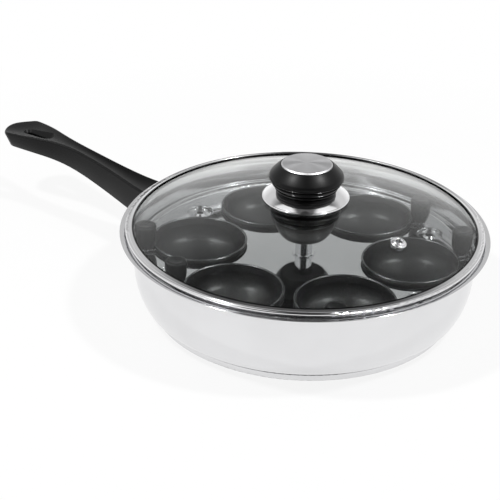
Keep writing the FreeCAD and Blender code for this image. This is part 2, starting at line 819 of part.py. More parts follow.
def lid_knob():
    high = knob_foot + knob_height
    seat = high - cap_seat_depth
    section = banded_section(knob_radius, knob_height, knob_foot, knob_band_shares)
    mouth = cap_radius + fit_gap
    brow = mouth + cap_bevel
    shoulder = section.last.z + (high - section.last.z) * knob_shoulder_share
    section.bend((knob_radius, shoulder), (brow, high))
    section.line(mouth, high).line(mouth, seat).line(0, seat)
    top = knob_foot + insert_setback + insert_length + fit_gap
    section.line(0, top).line(insert_radius + fit_gap, top)
    return section.solid()


def knob_cap():
    low = knob_foot + knob_height - cap_seat_depth
    edge = low + cap_seat_depth + cap_edge_height - cap_bevel
    high = edge + cap_bevel
    flat = cap_radius - cap_bevel
    section = Section(0, low).line(cap_radius, low).line(cap_radius, edge).line(flat, high)
    section.bend((flat / 2, high + cap_crown), (0, high + cap_crown))
    return section.solid()


gasket_top = glass_under_at(gasket_radius)
gasket_low = gasket_top - gasket_thickness
washer_low = gasket_low - washer_thickness


def ring(radius, low, high):
    return post(radius, low, high).cut(post(knob_screw_radius + fit_gap, low, high))


def knob_screw():
    tip = knob_foot + insert_setback + knob_screw_grip
    head = post(knob_screw_head_radius, washer_low - knob_screw_head_height, washer_low)
    return head.fuse(post(knob_screw_radius, washer_low - knob_screw_head_height, tip)).removeSplitter()


def pieces():
    """Every piece of the pan by name, where it lies with the lid on."""
    found = {
        "pan_shell": pan_shell(),
        "base_core": base_core(),
        "base_capsule": base_capsule(),
        "handle": handle(),
        "handle_bracket": handle_bracket(),
        "handle_screw": handle_screw(),
        "tray_plate": tray_plate(),
        "tray_skirt": tray_skirt(),
        "tray_stem": tray_stem(),
        "tray_knob": tray_knob(),
        "tray_knob_insert": knob_insert(tray_top + stem_height, insert_length),
        "tray_screw": tray_screw(),
        "lid_glass": lid_glass(),
        "lid_rim": lid_rim(),
        "vent_eyelet": vent_eyelet(),
        "lid_knob": lid_knob(),
        "lid_knob_cap": knob_cap(),
        "lid_knob_bezel": knob_bezel(),
        "lid_knob_insert": knob_insert(knob_foot, insert_length),
        "lid_gasket": ring(gasket_radius, gasket_low, gasket_top),
        "lid_washer": ring(washer_radius, washer_low, gasket_low),
        "lid_screw": knob_screw(),
    }
    cup_set = {"cup": cup(), "cup_ear": cup_ear(), "cup_knob": cup_knob(), "cup_screw": cup_screw()}
    for index, knob_angle in enumerate(cup_knob_angles):
        angle = cup_angle(index)
        centre = polar(cup_ring_radius, angle)
        for name, shape in cup_set.items():
            found[f"{name}_{index + 1}"] = turned(shape, centre, angle + knob_angle)
    return found


os.makedirs("parts", exist_ok=True)
for name, shape in pieces().items():
    shape.exportStep(f"parts/{name}.step")
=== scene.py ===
import math

import bpy
from mathutils import Matrix, Vector


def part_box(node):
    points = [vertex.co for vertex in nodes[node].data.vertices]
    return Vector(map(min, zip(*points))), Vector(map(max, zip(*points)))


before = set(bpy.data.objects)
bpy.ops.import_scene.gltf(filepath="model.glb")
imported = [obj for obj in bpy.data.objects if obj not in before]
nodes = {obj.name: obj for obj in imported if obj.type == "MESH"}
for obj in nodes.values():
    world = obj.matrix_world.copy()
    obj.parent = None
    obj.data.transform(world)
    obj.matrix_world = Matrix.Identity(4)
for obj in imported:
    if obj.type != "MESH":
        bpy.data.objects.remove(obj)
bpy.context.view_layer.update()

bl_info = {
    "name": "Egg Poacher Pan",
    "version": (1, 0, 0),
    "blender": (4, 5, 0),
    "location": "View3D > Sidebar > Poacher",
    "description": "Gives an egg poacher pan its finishes and a white studio",
    "category": "Object",
}

cup_numbers = range(1, 7)

# Grain of the finishes: how wide its marks are, how deep and how sharp, in metres

polish_smear = 0.045
pan_polish_depth = 0.000002
mirror_polish_depth = 0.000001
satin_polish_depth = 0.00001
metal_grain = 0.0012
metal_grain_depth = 0.00001
metal_smear = 0.012
skin_grain = 0.0011
skin_depth = 0.00002
handled_smear = 0.03
sand_grain = 0.0006
sand_depth = 0.00003
bare_edge = 0.0003
dark_rim_band_fade = 0.0002
glass_ripple = 0.06
ripple_depth = 0.0002
glass_film = 0.02
silicone_dust = 0.002
dust_depth = 0.00003
floor_grain = 0.02
floor_drop = 0.0002

# Shares that belong to the finishes. Most of a noise lies between its low and high shares.

noise_low_share = 0.3
noise_high_share = 0.7
black_gloss_share = 0.19
coating_gloss_share = 0.3
fleck_radius_share = 0.38
plain_cell_share = 0.62

# Heights in the studio: zero at the horizon, one straight overhead

horizon_top_share = 0.05
wall_low_share = 0.40
wall_high_share = 0.60
ceiling_low_share = 0.80


# Values that a user would change


class PoacherSteel(bpy.types.PropertyGroup):
    """Colours and gloss of the steel pieces."""

    pan_colour: bpy.props.FloatVectorProperty(
        name="Pan steel", description="Colour of the polished pan body and base",
        subtype="COLOR", size=3, min=0, max=1, default=(0.76, 0.76, 0.77))
    pan_roughness: bpy.props.FloatProperty(
        name="Pan roughness", description="How far the polished pan blurs what it mirrors",
        subtype="FACTOR", min=0, max=1, default=0.14)
    tray_colour: bpy.props.FloatVectorProperty(
        name="Tray steel", description="Colour of the mirror-polished tray",
        subtype="COLOR", size=3, min=0, max=1, default=(0.76, 0.76, 0.77))
    tray_roughness: bpy.props.FloatProperty(
        name="Tray roughness", description="How far the tray blurs what it mirrors",
        subtype="FACTOR", min=0, max=1, default=0.07)
    rim_colour: bpy.props.FloatVectorProperty(
        name="Rim steel", description="Colour of the lid's rim and vent",
        subtype="COLOR", size=3, min=0, max=1, default=(0.80, 0.80, 0.81))
    saucer_colour: bpy.props.FloatVectorProperty(
        name="Saucer steel", description="Colour of the bright saucer under the lid knob",
        subtype="COLOR", size=3, min=0, max=1, default=(0.93, 0.93, 0.94))
    rim_roughness: bpy.props.FloatProperty(
        name="Rim roughness", description="How far the rim and the saucer blur what they mirror",
        subtype="FACTOR", min=0, max=1, default=0.10)
    cap_colour: bpy.props.FloatVectorProperty(
        name="Cap steel", description="Colour of the satin cap on the lid knob",
        subtype="COLOR", size=3, min=0, max=1, default=(0.60, 0.60, 0.61))
    cap_roughness: bpy.props.FloatProperty(
        name="Cap roughness", description="Gloss of the satin cap",
        subtype="FACTOR", min=0, max=1, default=0.36)
    cap_comb: bpy.props.FloatProperty(
        name="Cap comb", description="How far the cap's gloss is stretched across its rings",
        subtype="FACTOR", min=0, max=1, default=0.75)
    vent_roughness: bpy.props.FloatProperty(
        name="Vent roughness", description="Gloss of the steam vent",
        subtype="FACTOR", min=0, max=1, default=0.16)
    screw_colour: bpy.props.FloatVectorProperty(
        name="Screw steel", description="Colour of screws, washers, bracket and ears",
        subtype="COLOR", size=3, min=0, max=1, default=(0.55, 0.55, 0.56))
    screw_roughness: bpy.props.FloatProperty(
        name="Screw roughness", description="Gloss of screws, washers and bracket",
        subtype="FACTOR", min=0, max=1, default=0.3)
    ear_roughness: bpy.props.FloatProperty(
        name="Ear roughness", description="Gloss of the cups' ears and of their screws",
        subtype="FACTOR", min=0, max=1, default=0.25)
    # Dark lines: painted shade in the seam above the base, and a dark band along the rim's inner edge
    # beside the glass
    line_colour: bpy.props.FloatVectorProperty(
        name="Dark lines", description="Colour of the seam above the base and of the seal beside the rim",
        subtype="COLOR", size=3, min=0, max=1, default=(0.03, 0.03, 0.03))
    # Where the dark band along the rim's inner edge begins, measured in from the edge of the glass
    dark_rim_band_margin: bpy.props.FloatProperty(
        name="Seal margin", description="From the edge of the glass in to the dark seal beside the rim",
        subtype="DISTANCE", unit="LENGTH", min=0, max=0.01, default=0.0015)
    # The seam's dark line is painted shade, where the groove between pan and base is shaded
    painted_shade_width: bpy.props.FloatProperty(
        name="Seam width", description="Width of the dark line above the base",
        subtype="DISTANCE", unit="LENGTH", min=0.0002, max=0.01, default=0.0012)
    spin_pitch: bpy.props.FloatProperty(
        name="Spin line pitch", description="Spacing of the fine rings left by polishing",
        subtype="DISTANCE", unit="LENGTH", min=0.0001, max=0.01, default=0.0006)


class PoacherDark(bpy.types.PropertyGroup):
    """Colours and grain of the black and grey pieces, the glass and the small metals."""

    black_colour: bpy.props.FloatVectorProperty(
        name="Black", description="Colour of the moulded handle and knobs",
        subtype="COLOR", size=3, min=0, max=1, default=(0.003, 0.003, 0.0032))
    black_roughness: bpy.props.FloatProperty(
        name="Black roughness", description="Gloss of the moulded black pieces",
        subtype="FACTOR", min=0, max=1, default=0.37)
    # Painted light: the tray's knob is the moulded black made lighter, standing in for light from the glass
    # and the mirror tray
    tray_knob_lit_colour: bpy.props.FloatVectorProperty(
        name="Tray knob", description="Colour of the tray's knob, which is greyer than the handle",
        subtype="COLOR", size=3, min=0, max=1, default=(0.012, 0.012, 0.0122))
    coating_colour: bpy.props.FloatVectorProperty(
        name="Cup coating", description="Colour of the non-stick coating",
        subtype="COLOR", size=3, min=0, max=1, default=(0.012, 0.012, 0.0125))
    fleck_colour: bpy.props.FloatVectorProperty(
        name="Cup flecks", description="Colour of the pale flecks in the coating",
        subtype="COLOR", size=3, min=0, max=1, default=(0.022, 0.022, 0.023))
    fleck_pitch: bpy.props.FloatProperty(
        name="Fleck pitch", description="Spacing of the flecks in the coating",
        subtype="DISTANCE", unit="LENGTH", min=0.0002, max=0.01, default=0.0014)
    coating_roughness: bpy.props.FloatProperty(
        name="Coating roughness", description="Gloss of the non-stick coating",
        subtype="FACTOR", min=0, max=1, default=0.32)
    bare_colour: bpy.props.FloatVectorProperty(
        name="Bare rim", description="Colour of the rolled rims of the cups, which the coating leaves bare",
        subtype="COLOR", size=3, min=0, max=1, default=(0.20, 0.20, 0.205))
    bare_roughness: bpy.props.FloatProperty(
        name="Bare roughness", description="Gloss of the bare rims of the cups",
        subtype="FACTOR", min=0, max=1, default=0.2)
    bare_height: bpy.props.FloatProperty(
        name="Bare height", description="How far down from the top the rims of the cups are bare",
        subtype="DISTANCE", unit="LENGTH", min=0.0, max=0.01, default=0.0007)
    glass_tint: bpy.props.FloatVectorProperty(
        name="Glass tint", description="Colour that light takes on through the lid",
        subtype="COLOR", size=3, min=0, max=1, default=(0.87, 0.885, 0.88))
    glass_bend: bpy.props.FloatProperty(
        name="Glass bend", description="Index of refraction of the lid, low enough for a thin veil",
        subtype="FACTOR", min=1, max=2, default=1.33)
    brass_colour: bpy.props.FloatVectorProperty(
        name="Brass", description="Colour of the inserts in the knobs",
        subtype="COLOR", size=3, min=0, max=1, default=(0.60, 0.42, 0.16))
    brass_roughness: bpy.props.FloatProperty(
        name="Brass roughness", description="Gloss of the inserts in the knobs",
        subtype="FACTOR", min=0, max=1, default=0.3)
    aluminium_colour: bpy.props.FloatVectorProperty(
        name="Aluminium", description="Colour of the core inside the base",
        subtype="COLOR", size=3, min=0, max=1, default=(0.62, 0.62, 0.63))
    aluminium_roughness: bpy.props.FloatProperty(
        name="Aluminium roughness", description="Gloss of the core inside the base",
        subtype="FACTOR", min=0, max=1, default=0.4)
    seal_colour: bpy.props.FloatVectorProperty(
        name="Seal", description="Colour of the silicone washer under the glass",
        subtype="COLOR", size=3, min=0, max=1, default=(0.045, 0.045, 0.046))


class PoacherStage(bpy.types.PropertyGroup):
    """Camera and studio."""

    camera_azimuth: bpy.props.FloatProperty(
        name="Azimuth", description="Camera's turn about the pan, from looking along +Y",
        subtype="ANGLE", unit="ROTATION", default=math.radians(38.0))
    camera_elevation: bpy.props.FloatProperty(
        name="Elevation", description="Camera's height above the horizon",
        subtype="ANGLE", unit="ROTATION", default=math.radians(27.735))
    camera_roll: bpy.props.FloatProperty(
        name="Roll", description="Camera's lean about its own axis",
        subtype="ANGLE", unit="ROTATION", default=math.radians(1.116))
    camera_distance: bpy.props.FloatProperty(
        name="Distance", description="From the camera to what it aims at",
        subtype="DISTANCE", unit="LENGTH", min=0.1, max=10, default=1.0954)
    camera_aim: bpy.props.FloatVectorProperty(
        name="Aim", description="Aim point, right and up from the origin as the camera sees it",
        subtype="XYZ_LENGTH", unit="LENGTH", size=2, default=(-0.0419, 0.03899))
    camera_lens: bpy.props.FloatProperty(
        name="Lens", description="Focal length on a sensor 36 mm wide",
        subtype="DISTANCE_CAMERA", min=10, max=300, default=98.94)
    floor_size: bpy.props.FloatProperty(
        name="Floor size", description="Side of the square floor",
        subtype="DISTANCE", unit="LENGTH", min=1, max=50, default=14.0)
    floor_colour: bpy.props.FloatVectorProperty(
        name="Floor", description="Colour of the floor",
        subtype="COLOR", size=3, min=0, max=1, default=(0.86, 0.86, 0.86))
    floor_shadow: bpy.props.FloatProperty(
        name="Floor shadow", description="Share of the floor's own shading that shows beside the pan",
        subtype="FACTOR", min=0, max=1, default=0.15)
    floor_reach: bpy.props.FloatProperty(
        name="Floor reach", description="How far from the pan's axis the floor turns all white",
        subtype="DISTANCE", unit="LENGTH", min=0.1, max=5, default=0.6)
    wall: bpy.props.FloatProperty(
        name="Wall", description="Brightness of the studio at half height, where the horizon is white",
        subtype="FACTOR", min=0, max=1, default=0.62)
    front: bpy.props.FloatProperty(
        name="Front", description="Brightness of the studio's open side, behind the camera",
        subtype="FACTOR", min=0, max=1, default=0.03)
    front_width: bpy.props.FloatProperty(
        name="Front width", description="Half the width of the studio's open side",
        subtype="ANGLE", unit="ROTATION", default=math.radians(40.0))
    ceiling: bpy.props.FloatProperty(
        name="Ceiling", description="Brightness of the studio overhead, between the softboxes",
        subtype="FACTOR", min=0, max=1, default=0.1)
    studio_turn: bpy.props.FloatProperty(
        name="Studio turn", description="Turn of the studio's softboxes about the pan",
        subtype="ANGLE", unit="ROTATION", default=math.radians(38.0))
    panel_light: bpy.props.FloatProperty(
        name="Panel light", description="Brightness of the two white panels that the steel mirrors",
        subtype="FACTOR", min=0, max=2, default=0.85)
    panel_inner: bpy.props.FloatProperty(
        name="Panel inner edge", description="How far the panels begin to the side of straight overhead",
        subtype="ANGLE", unit="ROTATION", default=math.radians(14.0))
    panel_outer: bpy.props.FloatProperty(
        name="Panel outer edge", description="How far the panels reach to the side of straight overhead",
        subtype="ANGLE", unit="ROTATION", default=math.radians(60.0))
    panel_back: bpy.props.FloatProperty(
        name="Panel back edge", description="How far the panels reach behind straight overhead",
        subtype="ANGLE", unit="ROTATION", default=math.radians(24.0))
    panel_front: bpy.props.FloatProperty(
        name="Panel front edge", description="How far the panels reach in front of straight overhead",
        subtype="ANGLE", unit="ROTATION", default=math.radians(45.0))
    panel_fade: bpy.props.FloatProperty(
        name="Panel fade", description="Half the width over which the panels' edges fade",
        subtype="ANGLE", unit="ROTATION", default=math.radians(4.0))
    key_power: bpy.props.FloatProperty(
        name="Key power", description="Power of each small bright softbox",
        subtype="POWER", min=0, max=100, default=12.0)
    key_size: bpy.props.FloatProperty(
        name="Key size", description="Width of each small softbox",
        subtype="DISTANCE", unit="LENGTH", min=0.01, max=3, default=0.17)
    key_lean: bpy.props.FloatProperty(
        name="Key lean", description="How far the small softboxes hang to the side of straight overhead",
        subtype="ANGLE", unit="ROTATION", default=math.radians(29.0))
    key_lead: bpy.props.FloatProperty(
        name="Key lead", description="How far the small softboxes hang towards the front",
        subtype="ANGLE", unit="ROTATION", default=math.radians(8.0))
    key_distance: bpy.props.FloatProperty(
        name="Key distance", description="From the pan to the small softboxes",
        subtype="DISTANCE", unit="LENGTH", min=0.5, max=5, default=1.7)
    world_light: bpy.props.FloatProperty(
        name="World light", description="Strength of the even light from all round",
        subtype="FACTOR", min=0, max=2, default=0.45)


# Node helpers


def new_finish(name):
    """An empty node material: its tree and its Principled shader."""
    material = bpy.data.materials.new(name)
    material.use_nodes = True
    tree = material.node_tree
    tree.nodes.clear()
    output = tree.nodes.new("ShaderNodeOutputMaterial")
    shader = tree.nodes.new("ShaderNodeBsdfPrincipled")
    tree.links.new(shader.outputs["BSDF"], output.inputs["Surface"])
    return material, tree, shader


def add(tree, kind, **settings):
    """A new node, with its settings and the values of its unlinked inputs."""
    node = tree.nodes.new(kind)
    for key, value in settings.items():
        if key in node.inputs:
            node.inputs[key].default_value = value
        else:
            setattr(node, key, value)
    return node


def places(tree):
    """Where a point of the surface is, in metres."""
    return add(tree, "ShaderNodeTexCoord").outputs["Object"]


def axis_distance(tree):
    """How far a point of the surface is from the pan's axis."""
    flat = add(tree, "ShaderNodeVectorMath", operation="MULTIPLY")
    flat.inputs[1].default_value = (1, 1, 0)
    tree.links.new(places(tree), flat.inputs[0])
    length = add(tree, "ShaderNodeVectorMath", operation="LENGTH")
    tree.links.new(flat.outputs[0], length.inputs[0])
    return length.outputs["Value"]


def height(tree):
    """How high a point of the surface is."""
    split = add(tree, "ShaderNodeSeparateXYZ")
    tree.links.new(places(tree), split.inputs[0])
    return split.outputs["Z"]


def ring_places(tree):
    """Distance from the pan's axis and height, so that a texture runs in rings."""
    joined = add(tree, "ShaderNodeCombineXYZ")
    tree.links.new(axis_distance(tree), joined.inputs["X"])
    tree.links.new(height(tree), joined.inputs["Y"])
    return joined.outputs[0]


def noise(tree, where, size, detail=3.0, roughness=0.5):
    """Noise whose blotches are about the given size across."""
    node = add(tree, "ShaderNodeTexNoise", Scale=1 / size, Detail=detail, Roughness=roughness)
    tree.links.new(where, node.inputs["Vector"])
    return node.outputs["Fac"]


def spread(tree, value, low, high):
    """A noise value mapped on to a range."""
    node = add(tree, "ShaderNodeMapRange", clamp=True)
    node.inputs["From Min"].default_value = noise_low_share
    node.inputs["From Max"].default_value = noise_high_share
    node.inputs["To Min"].default_value = low
    node.inputs["To Max"].default_value = high
    tree.links.new(value, node.inputs["Value"])
    return node.outputs["Result"]


def tinted(tree, value, colour, low, high):
    """The colour, darkened and lightened by a noise value."""
    ramp = add(tree, "ShaderNodeValToRGB")
    ends = ramp.color_ramp.elements
    ends[0].position, ends[1].position = noise_low_share, noise_high_share
    ends[0].color = (*(channel * low for channel in colour), 1)
    ends[1].color = (*(min(1, channel * high) for channel in colour), 1)
    tree.links.new(value, ramp.inputs["Fac"])
    return ramp.outputs["Color"]


def product(tree, first, second):
    """Two values multiplied."""
    node = add(tree, "ShaderNodeMath", operation="MULTIPLY")
    tree.links.new(first, node.inputs[0])
    tree.links.new(second, node.inputs[1])
    return node.outputs[0]


def within(tree, fade, edges):
    """One inside all of the edges, each a value, a limit and the side of it that is inside."""
    mask = None
    for value, edge, side in edges:
        step = add(tree, "ShaderNodeMapRange", interpolation_type="SMOOTHSTEP")
        step.inputs["From Min"].default_value = edge - side * fade
        step.inputs["From Max"].default_value = edge + side * fade
        tree.links.new(value, step.inputs["Value"])
        inside = step.outputs["Result"]
        mask = inside if mask is None else product(tree, mask, inside)
    return mask


def blended(tree, share, first, second):
    """The first colour where a share is zero and the second where it is one."""
    mix = add(tree, "ShaderNodeMix", data_type="RGBA")
    tree.links.new(share, mix.inputs["Factor"])
    ends = [socket for socket in mix.inputs if socket.type == "RGBA"]
    for end, colour in zip(ends, (first, second)):
        if isinstance(colour, bpy.types.NodeSocket):
            tree.links.new(colour, end)
        else:
            end.default_value = (*colour, 1)
    return next(socket for socket in mix.outputs if socket.type == "RGBA")


def grey(level):
    """A colour with the same level in each channel."""
    return level, level, level


def bumped(tree, shader, value, depth):
    """Relief of a real depth in metres."""
    node = add(tree, "ShaderNodeBump", Strength=1.0, Distance=depth)
    tree.links.new(value, node.inputs["Height"])
    tree.links.new(node.outputs["Normal"], shader.inputs["Normal"])


def studio_axes(stage):
    """The studio's ways to the right and to the front."""
    turn = stage.studio_turn
    return Vector((math.cos(turn), math.sin(turn), 0)), Vector((math.sin(turn), -math.cos(turn), 0))


def angle_between(tree, way, side, ahead):
    """Angle of a way from straight ahead towards a side."""
    parts = []
    for axis in (side, ahead):
        part = add(tree, "ShaderNodeVectorMath", operation="DOT_PRODUCT")
        part.inputs[1].default_value = axis
        tree.links.new(way, part.inputs[0])
        parts.append(part.outputs["Value"])
    angle = add(tree, "ShaderNodeMath", operation="ARCTAN2")
    tree.links.new(parts[0], angle.inputs[0])
    tree.links.new(parts[1], angle.inputs[1])
    return angle.outputs[0]


def size_of(tree, value):
    """A value without its sign."""
    node = add(tree, "ShaderNodeMath", operation="ABSOLUTE")
    tree.links.new(value, node.inputs[0])
    return node.outputs[0]


def seen_directly(tree):
    """One for rays from the camera, a mirror or through glass, else zero."""
    rays = add(tree, "ShaderNodeLightPath")
    mirror = add(tree, "ShaderNodeMath", operation="MAXIMUM")
    tree.links.new(rays.outputs["Is Camera Ray"], mirror.inputs[0])
    tree.links.new(rays.outputs["Is Glossy Ray"], mirror.inputs[1])
    through = add(tree, "ShaderNodeMath", operation="MAXIMUM")
    tree.links.new(mirror.outputs[0], through.inputs[0])
    tree.links.new(rays.outputs["Is Transmission Ray"], through.inputs[1])
    return through.outputs[0]


# Finishes


def spun_steel(name, colour, roughness, pitch, relief, line_colour=None, line=None):
    """Steel polished on a spindle: rings round the pan's axis, soft smears and perhaps a dark line, such as
    painted shade in a seam.
    """
    material, tree, shader = new_finish(name)
    shader.inputs["Metallic"].default_value = 1.0
    smears = noise(tree, places(tree), polish_smear)
    rings = noise(tree, ring_places(tree), pitch, detail=4.0, roughness=0.65)
    shade = tinted(tree, smears, colour, 0.97, 1.03)
    if line is not None:
        shade = blended(tree, line(tree), shade, line_colour)
    tree.links.new(shade, shader.inputs["Base Color"])
    tree.links.new(spread(tree, rings, roughness * 0.8, roughness * 1.25), shader.inputs["Roughness"])
    bumped(tree, shader, rings, relief)
    return material


def combed_round(material, share):
    """Stretches the gloss of a finish across the rings of its spinning."""
    tree = material.node_tree
    shader = next(node for node in tree.nodes if node.type == "BSDF_PRINCIPLED")
    shader.inputs["Anisotropic"].default_value = share
    turn = add(tree, "ShaderNodeTangent", direction_type="RADIAL", axis="Z")
    tree.links.new(turn.outputs["Tangent"], shader.inputs["Tangent"])


def plain_metal(name, colour, roughness):
    """Turned or stamped metal with a fine random grain."""
    material, tree, shader = new_finish(name)
    shader.inputs["Metallic"].default_value = 1.0
    grain = noise(tree, places(tree), metal_grain, detail=5.0)
    smears = noise(tree, places(tree), metal_smear)
    tree.links.new(tinted(tree, smears, colour, 0.9, 1.08), shader.inputs["Base Color"])
    tree.links.new(spread(tree, grain, roughness * 0.75, roughness * 1.3), shader.inputs["Roughness"])
    bumped(tree, shader, grain, metal_grain_depth)
    return material


def moulded_black(name, colour, roughness):
    """Moulded phenolic: deep black with a slight orange-peel skin."""
    material, tree, shader = new_finish(name)
    shader.inputs["IOR"].default_value = 1.5
    shader.inputs["Specular IOR Level"].default_value = black_gloss_share
    skin = noise(tree, places(tree), skin_grain, detail=2.0)
    handled = noise(tree, places(tree), handled_smear)
    tree.links.new(tinted(tree, handled, colour, 0.85, 1.2), shader.inputs["Base Color"])
    tree.links.new(spread(tree, handled, roughness * 0.85, roughness * 1.15), shader.inputs["Roughness"])
    bumped(tree, shader, skin, skin_depth)
    return material


def flecks(tree, pitch):
    """One in the middle of some cells of a fine random pattern, else zero."""
    cells = add(tree, "ShaderNodeTexVoronoi", Scale=1 / pitch)
    tree.links.new(places(tree), cells.inputs["Vector"])
    near = add(tree, "ShaderNodeMath", operation="LESS_THAN")
    near.inputs[1].default_value = fleck_radius_share
    tree.links.new(cells.outputs["Distance"], near.inputs[0])
    pick = add(tree, "ShaderNodeSeparateColor")
    tree.links.new(cells.outputs["Color"], pick.inputs[0])
    some = add(tree, "ShaderNodeMath", operation="GREATER_THAN")
    some.inputs[1].default_value = plain_cell_share
    tree.links.new(pick.outputs["Red"], some.inputs[0])
    return product(tree, near.outputs[0], some.outputs[0])


def flecked_coating(name, dark, bare_from):
    """Sprayed non-stick coating with pale flecks and a fine sandy skin, and a bare rolled rim."""
    material, tree, shader = new_finish(name)
    shader.inputs["Specular IOR Level"].default_value = coating_gloss_share
    coated = blended(tree, flecks(tree, dark.fleck_pitch), dark.coating_colour, dark.fleck_colour)
    rim = add(tree, "ShaderNodeMapRange", clamp=True)
    rim.inputs["From Min"].default_value = bare_from
    rim.inputs["From Max"].default_value = bare_from + bare_edge
    tree.links.new(height(tree), rim.inputs["Value"])
    bare = rim.outputs["Result"]
    tree.links.new(bare, shader.inputs["Metallic"])
    tree.links.new(blended(tree, bare, coated, dark.bare_colour), shader.inputs["Base Color"])
    sand = noise(tree, places(tree), sand_grain, detail=4.0)
    rough = dark.coating_roughness
    gloss = add(tree, "ShaderNodeMix")
    tree.links.new(bare, gloss.inputs["Factor"])
    tree.links.new(spread(tree, sand, rough * 0.7, rough * 1.4), gloss.inputs["A"])
    gloss.inputs["B"].default_value = dark.bare_roughness
    tree.links.new(gloss.outputs["Result"], shader.inputs["Roughness"])
    bumped(tree, shader, sand, sand_depth)
    return material


def clear_glass(name, tint, bend):
    """Tempered glass: clear, faintly rippled, and open to the studio's light."""
    material, tree, shader = new_finish(name)
    shader.inputs["Base Color"].default_value = (*tint, 1)
    shader.inputs["Transmission Weight"].default_value = 1.0
    shader.inputs["IOR"].default_value = bend
    ripple = noise(tree, places(tree), glass_ripple, detail=1.0)
    film = noise(tree, places(tree), glass_film, detail=3.0)
    tree.links.new(spread(tree, film, 0.0, 0.02), shader.inputs["Roughness"])
    bumped(tree, shader, ripple, ripple_depth)
    output = next(node for node in tree.nodes if node.type == "OUTPUT_MATERIAL")
    rays = add(tree, "ShaderNodeLightPath")
    open_way = add(tree, "ShaderNodeBsdfTransparent", Color=(*tint, 1))
    mix = add(tree, "ShaderNodeMixShader")
    tree.links.new(rays.outputs["Is Shadow Ray"], mix.inputs["Fac"])
    tree.links.new(shader.outputs["BSDF"], mix.inputs[1])
    tree.links.new(open_way.outputs["BSDF"], mix.inputs[2])
    tree.links.new(mix.outputs["Shader"], output.inputs["Surface"])
    return material


def soft_silicone(name, colour):
    """Matte silicone with a dusty skin."""
    material, tree, shader = new_finish(name)
    dust = noise(tree, places(tree), silicone_dust, detail=4.0)
    tree.links.new(tinted(tree, dust, colour, 0.85, 1.15), shader.inputs["Base Color"])
    tree.links.new(spread(tree, dust, 0.5, 0.7), shader.inputs["Roughness"])
    bumped(tree, shader, dust, dust_depth)
    return material


def dress(name, material):
    """Gives a solid piece its finish."""
    piece = nodes[name]
    piece.data.materials.clear()
    piece.data.materials.append(material)


# Operators


class POACHER_OT_pan(bpy.types.Operator):
    """Polishes the pan body and its base, with painted shade in the seam between them"""

    bl_idname = "poacher.pan"
    bl_label = "Finish Pan"

    def execute(self, context):
        steel = context.scene.poacher_steel
        dark = context.scene.poacher_dark
        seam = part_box("base_capsule")[1].z
        half = steel.painted_shade_width / 2

        # Painted shade: a dark band in the seam between the pan and its base
        def in_painted_seam_shade(tree):
            return within(tree, half / 2, ((height(tree), seam - half, 1), (height(tree), seam + half, -1)))

        finish = (steel.pan_colour, steel.pan_roughness, steel.spin_pitch, pan_polish_depth)
        body = spun_steel("polished_pan", *finish, steel.line_colour, in_painted_seam_shade)
        dress("pan_shell", body)
        dress("base_capsule", body)
        dress("base_core", plain_metal("core_metal", dark.aluminium_colour, dark.aluminium_roughness))
        return {"FINISHED"}


class POACHER_OT_handle(bpy.types.Operator):
    """Moulds the handle in black and finishes its bracket and screw"""

    bl_idname = "poacher.handle"
    bl_label = "Finish Handle"

    def execute(self, context):
        steel = context.scene.poacher_steel
        dark = context.scene.poacher_dark
        dress("handle", moulded_black("handle_black", dark.black_colour, dark.black_roughness))
        small = plain_metal("bracket_metal", steel.screw_colour, steel.screw_roughness)
        dress("handle_bracket", small)
        dress("handle_screw", small)
        return {"FINISHED"}


class POACHER_OT_tray(bpy.types.Operator):
    """Mirror-polishes the tray and finishes its knob"""

    bl_idname = "poacher.tray"
    bl_label = "Finish Tray"

    def execute(self, context):
        steel = context.scene.poacher_steel
        dark = context.scene.poacher_dark
        finish = (steel.tray_colour, steel.tray_roughness, steel.spin_pitch, mirror_polish_depth)
        mirror = spun_steel("mirror_tray", *finish)
        dress("tray_plate", mirror)
        dress("tray_skirt", mirror)
        dress("tray_stem", mirror)
        # A lighter copy of the black for the tray's knob: painted light
        dress("tray_knob", moulded_black("tray_knob_black", dark.tray_knob_lit_colour, dark.black_roughness))
        dress("tray_knob_insert", plain_metal("insert_brass", dark.brass_colour, dark.brass_roughness))
        dress("tray_screw", plain_metal("tray_screw_metal", steel.screw_colour, steel.screw_roughness))
        return {"FINISHED"}


class POACHER_OT_cups(bpy.types.Operator):
    """Coats the cups and finishes their ears, knobs and screws"""

    bl_idname = "poacher.cups"
    bl_label = "Finish Cups"

    def execute(self, context):
        steel = context.scene.poacher_steel
        dark = context.scene.poacher_dark
        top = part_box("cup_1")[1].z
        coating = flecked_coating("cup_coating", dark, top - dark.bare_height)
        ear = plain_metal("ear_metal", steel.screw_colour, steel.ear_roughness)
        knob = moulded_black("cup_knob_black", dark.black_colour, dark.black_roughness)
        for number in cup_numbers:
            dress(f"cup_{number}", coating)
            dress(f"cup_ear_{number}", ear)
            dress(f"cup_knob_{number}", knob)
            dress(f"cup_screw_{number}", ear)
        return {"FINISHED"}


